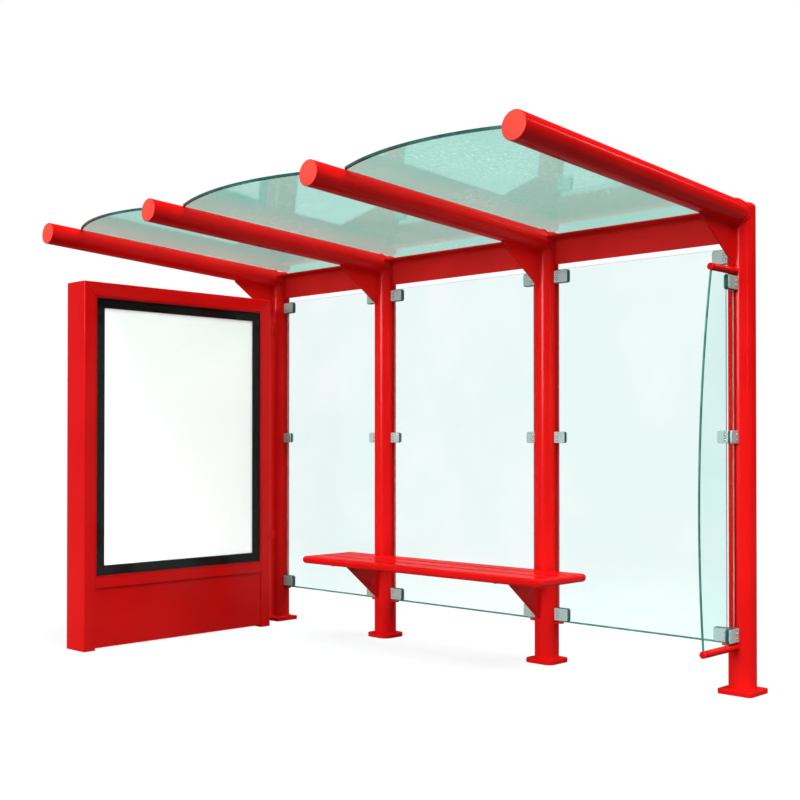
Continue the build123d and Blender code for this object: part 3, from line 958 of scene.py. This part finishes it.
for place in ("rear", "middle", "front"):
    slat_low, slat_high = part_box(f"bench_slat_{place}")
    outline = []
    for y, z, start in ((slat_high.y, slat_high.z, 0), (slat_low.y, slat_high.z, 90),
                        (slat_low.y, slat_low.z, 180), (slat_high.y, slat_low.z, 270)):
        toward_y = -1 if y == slat_high.y else 1
        toward_z = -1 if z == slat_high.z else 1
        centre = (y + toward_y * slat_round, z + toward_z * slat_round)
        outline += corner_arc(centre, slat_round, start, 90, 10)
    bm = bmesh.new()
    prism(bm, [(slat_low.x, y, z) for y, z in outline], (slat_high.x - slat_low.x, 0, 0))
    slat = show(f"bench_slat_{place}_board", bm, bench_red)
    ease(slat, slat_edge, 2, 50)
    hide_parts(f"bench_slat_{place}")


def block(bm, near, far):
    """A square-edged block between two opposite corners."""
    prism(bm, [(near[0], near[1], near[2]), (near[0], far[1], near[2]),
               (near[0], far[1], far[2]), (near[0], near[1], far[2])], (far[0] - near[0], 0, 0))


for side in ("left", "right"):
    bar_low, bar_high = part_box(f"bench_end_{side}")
    outer_x = bar_low.x if side == "left" else bar_high.x
    bm = bmesh.new()
    block(bm, bar_low, bar_high)
    bmesh.ops.recalc_face_normals(bm, faces=bm.faces)
    picked = []
    for edge in bm.edges:
        first, second = edge.verts[0].co, edge.verts[1].co
        across = abs(first.x - second.x) > same
        outside = abs(first.y - second.y) > same and abs(first.x - outer_x) < same
        if across or outside:
            picked.append(edge)
    bmesh.ops.bevel(bm, geom=picked, offset=slat_round, segments=10, profile=0.5, affect="EDGES")
    bar = show(f"bench_end_{side}_bar", bm, bench_red)
    ease(bar, bench_corner, 4, 40)
    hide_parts(f"bench_end_{side}")

bm_welds = bmesh.new()
for side, middle in (("left", posts[1]), ("right", posts[2])):
    bracket_low, bracket_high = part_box(f"bench_bracket_{side}")
    back = bracket_high.y
    bend = middle.y - post_r - bracket_bend
    outline = [(back, bracket_high.z), (bracket_low.y, bracket_high.z),
               (bracket_low.y, bracket_high.z - bracket_nose), (bend, bracket_high.z - bracket_nose),
               (back - bracket_tip, bracket_low.z), (back, bracket_low.z)]
    thick = bracket_high.x - bracket_low.x
    bracket = plate_piece(f"bench_bracket_{side}_plate", outline, middle.x, thick, gusset_edge, steel_red)
    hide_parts(f"bench_bracket_{side}")
    plate_welds(bm_welds, middle, thick, (post_r + bead * 0.1, bracket_low.z + weld_from_foot),
                (post_r + bead * 0.1, bracket_high.z - weld_from_tip))
show("bracket_welds", bm_welds, steel_red)

# ---------------------------------------------------------------- poster case
# A free-standing case of folded sheet: two uprights to the ground, head and sill mitred or butted
# between them, kick panels set back below, and a glazed poster on each face. Bars tie it to a post.
case_edge = 0.006
member_edge = 0.0012
case_red = red_coating("case_coating", (0.64, 0.0030, 0.0032), (0.69, 0.0042, 0.0042),
                       rough_low=0.14, rough_high=0.18, coat=0.24)
stile_low, stile_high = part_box("case_stile_front")
rear_stile_low, rear_stile_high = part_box("case_stile_rear")
head_low, head_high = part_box("case_head")
sill_low, sill_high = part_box("case_sill")
stile_width = stile_high.y - stile_low.y
case_x = (stile_low.x + stile_high.x) / 2
case_thick = stile_high.x - stile_low.x
case_back = head_high.y
opening_top = head_low.z
mitre_gap = 0.0009
sheet_edge = 0.0008
link_thick = 0.008
link_width = 0.050
link_inset = 0.020                          # outer face of the case to the bars
link_foot = 0.600                           # lower bar above the ground
link_under_top = 0.186
link_sunk = 0.001                           # how far a bar reaches into the case and the post
link_edge = 0.0010


def case_member(name, outline, corner_edges):
    """A member of the case: a (y, z) outline over the full thickness, its long outer edges rounded."""
    bm = bmesh.new()
    prism(bm, [(case_x - case_thick / 2, y, z) for y, z in outline], (case_thick, 0, 0))
    bmesh.ops.recalc_face_normals(bm, faces=bm.faces)
    bm.edges.ensure_lookup_table()
    picked = [e for e in bm.edges if corner_edges((e.verts[0].co + e.verts[1].co) / 2, e)]
    bmesh.ops.bevel(bm, geom=picked, offset=case_edge, segments=6, profile=0.5, affect="EDGES")
    member = show(name, bm, case_red)
    ease(member, member_edge, 3, 45)
    return member


def upright_at(y_outer):
    """Picks the two long edges at the outer face of an upright."""
    return lambda middle, edge: abs(middle.y - y_outer) < same and abs(middle.x - case_x) > case_thick / 4


def head_top(middle, edge):
    """Picks the two long edges at the top of the head."""
    return abs(middle.z - head_high.z) < same and abs(middle.x - case_x) > case_thick / 4


for name, outer, inner in (("front", stile_low.y, stile_high.y),
                           ("rear", case_back, case_back - stile_width)):
    outline = [(outer, stile_low.z), (inner, stile_low.z), (inner, opening_top - mitre_gap),
               (outer, head_high.z - mitre_gap)]
    stile = case_member(f"case_stile_{name}_box", outline, upright_at(outer))
    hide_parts(f"case_stile_{name}")

head_outline = [(head_low.y + mitre_gap, head_high.z), (head_high.y - mitre_gap, head_high.z),
                (case_back - stile_width - mitre_gap, opening_top), (stile_high.y + mitre_gap, opening_top)]
head = case_member("case_head_box", head_outline, head_top)
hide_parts("case_head")
sill_outline = [(sill_low.y + mitre_gap, sill_high.z), (sill_high.y - mitre_gap, sill_high.z),
                (sill_high.y - mitre_gap, sill_low.z), (sill_low.y + mitre_gap, sill_low.z)]
sill = case_member("case_sill_box", sill_outline, lambda middle, edge: False)
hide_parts("case_sill")

# Folded sheets close the case below the sill, a little back from its faces.
kick_low, kick_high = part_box("kick_panels")
kick_sheet = 0.003
kick_gap = 0.0006                           # open joint beside each upright
bm = bmesh.new()
for x in (kick_low.x, kick_high.x - kick_sheet):
    block(bm, (x, kick_low.y + kick_gap, kick_low.z), (x + kick_sheet, kick_high.y - kick_gap, kick_high.z))
kick = show("kick_panel_sheets", bm, case_red)
ease(kick, sheet_edge, 2)
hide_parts("kick_panels")

# Two flat bars, let into both, tie the rear upright of the case to the first post.
bm = bmesh.new()
link_x = case_x - case_thick / 2 + link_inset
link_end = posts[0].y - math.sqrt(post_r ** 2 - (link_x - posts[0].x) ** 2)
for level in (rear_stile_low.z + link_foot, rear_stile_high.z - link_under_top):
    block(bm, (link_x - link_thick / 2, case_back - link_sunk, level - link_width / 2),
          (link_x + link_thick / 2, link_end + link_sunk, level + link_width / 2))
bars = show("case_link_bars", bm, steel_red)
ease(bars, link_edge, 2)

# Toughened glass on each face, bedded on black rubber and held by a slim red bead. A black border
# is printed on its back and frames the poster, which is white backlit paper on a light board.
case_glass_arris = 0.0006
border = 0.070
border_thick = 0.0005
border_gap = 0.0001                         # between the glass and the printed border
bead_joint = 0.0025                         # open joint between the case and the bead
bead_width = 0.0065
bead_recess = 0.0006                        # the bead lies this far back from the face of the case
gasket = 0.0120                             # rubber under the joint and the bead, and a rim inside them
gasket_thick = 0.0012
poster_glow = 0.08


def case_glazing(name):
    """Clear, low-glare glass of the case."""
    material, links, shader = surface(name, Transmission_Weight=1.0, IOR=1.12)
    wave = clouds(material, 3.0, 2)
    links.new(blend_colours(material, wave, (0.975, 0.985, 0.985), (0.99, 0.995, 0.995)),
              shader.inputs["Base Color"])
    links.new(remap(material, wave, 0.3, 0.7, 0.01, 0.04), shader.inputs["Roughness"])
    let_lamps_through(material, (0.97, 0.98, 0.98))
    return material


def black_print(name, dark, pale, rough):
    """Black ceramic print or rubber, dull and faintly uneven."""
    material, links, shader = surface(name, Specular_IOR_Level=0.08)
    shade = clouds(material, 12.0, 5)
    links.new(blend_colours(material, remap(material, shade, 0.3, 0.7, 0, 1), dark, pale),
              shader.inputs["Base Color"])
    links.new(remap(material, shade, 0.3, 0.7, rough, rough + 0.1), shader.inputs["Roughness"])
    return material


def backlit_paper(name):
    """Poster paper, white in itself, with light behind it, a trace darker between the lamps. Its colour and
    glow are tinted pink: a painted counter-tint for the green light that falls through the roof glass.
    """
    material, links, shader = surface(name, Roughness=0.7, Specular_IOR_Level=0.2,
                                      Emission_Strength=poster_glow)
    fibre = clouds(material, 260.0, 4)
    # The pink in paper and glow is a painted counter-tint for the green light through the roof glass.
    links.new(blend_colours(material, fibre, (0.93, 0.85, 0.86), (0.97, 0.89, 0.90)),
              shader.inputs["Base Color"])
    spread = clouds(material, 1.3, 1)
    links.new(blend_colours(material, spread, (1.0, 0.90, 0.90), (1.0, 0.94, 0.94)),
              shader.inputs["Emission Color"])
    return material


case_glass = case_glazing("case_glass")
border_black = black_print("border_print", (0.0030, 0.0036, 0.0037), (0.0050, 0.0056, 0.0058), rough=0.45)
gasket_black = black_print("gasket_rubber", (0.010, 0.010, 0.010), (0.020, 0.020, 0.020), rough=0.55)
poster_paper = backlit_paper("poster_paper")


def frame_ring(bm, x, thick, box_low, box_high, width):
    """A flat ring round an opening, seen from the side of the case: four mitred strips."""
    rings = []
    for across in (x, x + thick):
        for inset in (0, width):
            left, right = box_low.y + inset, box_high.y - inset
            foot, top = box_low.z + inset, box_high.z - inset
            rings.append([bm.verts.new((across, y, z))
                          for y, z in ((left, foot), (right, foot), (right, top), (left, top))])
    near_out, near_in, far_out, far_in = rings
    for i in range(4):
        j = (i + 1) % 4
        bm.faces.new((near_out[i], near_out[j], near_in[j], near_in[i]))
        bm.faces.new((far_out[i], far_in[i], far_in[j], far_out[j]))
        bm.faces.new((near_out[i], far_out[i], far_out[j], near_out[j]))
        bm.faces.new((near_in[i], near_in[j], far_in[j], far_in[i]))


for name, side in (("right", 1), ("left", -1)):
    sheet_low, sheet_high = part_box(f"case_glass_{name}")
    bm = bmesh.new()
    block(bm, sheet_low, sheet_high)
    pane = show(f"case_pane_{name}", bm, case_glass, slot="case_glass")
    ease(pane, case_glass_arris, 1)
    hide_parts(f"case_glass_{name}")
    inner = sheet_low.x if side == 1 else sheet_high.x
    bm = bmesh.new()
    frame_ring(bm, inner - side * (border_gap + border_thick), side * border_thick, sheet_low, sheet_high,
               border)
    show(f"case_border_{name}", bm, border_black, slot="poster")
    face = sheet_high.x if side == 1 else sheet_low.x
    bm = bmesh.new()
    frame_ring(bm, face, side * gasket_thick, sheet_low, sheet_high, gasket)
    show(f"case_gasket_{name}", bm, gasket_black, slot="case_glass")
    inset = Vector((0, bead_joint, bead_joint))
    flush = stile_high.x if side == 1 else stile_low.x
    bm = bmesh.new()
    frame_ring(bm, face + side * gasket_thick, flush - face - side * (gasket_thick + bead_recess),
               sheet_low + inset, sheet_high - inset, bead_width)
    ease(show(f"case_bead_{name}", bm, case_red), sheet_edge, 3)
    board_low, board_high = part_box(f"poster_{name}")
    bm = bmesh.new()
    block(bm, board_low, board_high)
    board = show(f"poster_{name}_board", bm, poster_paper, slot="poster")
    ease(board, sheet_edge, 2)
    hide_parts(f"poster_{name}")

# ---------------------------------------------------------------- floor, light and camera
# A white studio floor, a low soft lamp in front of the shelter and a stronger, broader one above its
# right end, two faint ones that draw bright lines along the tubes, and a camera at standing height
# off the right front corner.
floor_reach = 30.0
floor_near, floor_far = 2.0, 7.0            # the floor glows fully from here on, and less close in
floor_close_glow = 0.86
floor_lit = 0.16                            # how pale the floor is to light, to reflections, to the eye
floor_mirrored = 0.35
floor_seen = 0.95


def studio_floor():
    """White to the eye, with the shelter's soft shadow; greyer to the light that falls on the part."""
    material, links, shader = surface("studio_floor", Roughness=0.9, Specular_IOR_Level=0.0)
    path = node(material, "ShaderNodeLightPath").outputs
    seen = combine(material, "MAXIMUM", path["Is Camera Ray"], path["Is Transmission Ray"])
    lit = remap(material, path["Is Glossy Ray"], 0, 1, floor_lit, floor_mirrored)
    tone = combine(material, "MAXIMUM", lit, remap(material, seen, 0, 1, 0, floor_seen))
    links.new(tone, shader.inputs["Base Color"])
    place = node(material, "ShaderNodeTexCoord")
    distance = node(material, "ShaderNodeVectorMath")
    distance.operation = "LENGTH"
    links.new(place.outputs["Object"], distance.inputs[0])
    far = remap(material, distance.outputs["Value"], floor_near, floor_far, floor_close_glow, 1.0)
    glow = node(material, "ShaderNodeEmission", Color=(1, 1, 1, 1), Strength=1.0)
    both = mix_shaders(material, combine(material, "MULTIPLY", far, seen), shader.outputs["BSDF"],
                       glow.outputs["Emission"])
    links.new(both, material.node_tree.nodes["Material Output"].inputs["Surface"])
    return material


bm = bmesh.new()
bmesh.ops.create_grid(bm, x_segments=8, y_segments=8, size=floor_reach)
floor_mesh = bpy.data.meshes.new("studio_floor")
bm.to_mesh(floor_mesh)
bm.free()
floor_mesh.materials.append(studio_floor())
floor = bpy.data.objects.new("studio_floor", floor_mesh)
floor.location.z = cad_box[0].z
bpy.context.scene.collection.objects.link(floor)

# Pale walls all round, white where they are looked at. In reflections they are brighter to the left
# of the shelter and darker to its right.
walls_lit = 0.14
walls_mirrored = (0.10, 0.50)
walls_seen = 1.0
walls_bright_side = (-0.80, -0.60, 0.0)
walls_turn = (-0.4, 0.9)                    # how far a direction leans that way, darkest to brightest

world = bpy.data.worlds.new("studio")
bpy.context.scene.world = world
world.use_nodes = True
links = world.node_tree.links
fill = world.node_tree.nodes["Background"]
fill.inputs["Color"].default_value = (1, 1, 1, 1)
fill.inputs["Strength"].default_value = walls_lit
mirrored = node(world, "ShaderNodeBackground", Color=(1, 1, 1, 1))
backdrop = node(world, "ShaderNodeBackground", Color=(1, 1, 1, 1), Strength=walls_seen)
aim = node(world, "ShaderNodeTexCoord")
lean = node(world, "ShaderNodeVectorMath")
lean.operation = "DOT_PRODUCT"
lean.inputs[1].default_value = walls_bright_side
links.new(aim.outputs["Generated"], lean.inputs[0])
links.new(remap(world, lean.outputs["Value"], *walls_turn, *walls_mirrored), mirrored.inputs["Strength"])
path = node(world, "ShaderNodeLightPath").outputs
seen = combine(world, "MAXIMUM", path["Is Camera Ray"], path["Is Transmission Ray"])
indirect = mix_shaders(world, path["Is Glossy Ray"], fill.outputs["Background"],
                       mirrored.outputs["Background"])
walls = mix_shaders(world, seen, indirect, backdrop.outputs["Background"])
links.new(walls, world.node_tree.nodes["World Output"].inputs["Surface"])


def lamp(name, azimuth, height, softness, level):
    """A far soft lamp. Azimuth and height are its direction in degrees; a white face turned to it
    reaches the level."""
    data = bpy.data.lights.new(name, "SUN")
    data.angle = math.radians(softness)
    data.energy = level * math.pi
    made = bpy.data.objects.new(name, data)
    flat = math.cos(math.radians(height))
    away = Vector((flat * math.cos(math.radians(azimuth)), flat * math.sin(math.radians(azimuth)),
                   math.sin(math.radians(height))))
    made.rotation_euler = away.to_track_quat("Z", "Y").to_euler()
    bpy.context.scene.collection.objects.link(made)


lamp("front_lamp", azimuth=-91, height=12, softness=16, level=0.78)
lamp("top_lamp", azimuth=-10, height=65, softness=46, level=1.42)
lamp("glint_lamp", azimuth=-15, height=8, softness=5, level=0.018)
lamp("rim_lamp", azimuth=66, height=27, softness=7, level=0.045)

camera = bpy.data.objects.new("camera", bpy.data.cameras.new("camera"))
bpy.context.scene.collection.objects.link(camera)
camera.location = (4.8007, -4.7066, 1.2762)
camera.rotation_euler = (math.radians(90.6), 0, math.radians(44.1731))
camera.data.sensor_width = 36
camera.data.lens = 54.19
camera.data.shift_y = 0.0339
bpy.context.scene.camera = camera
bpy.context.scene.view_settings.view_transform = "Standard"
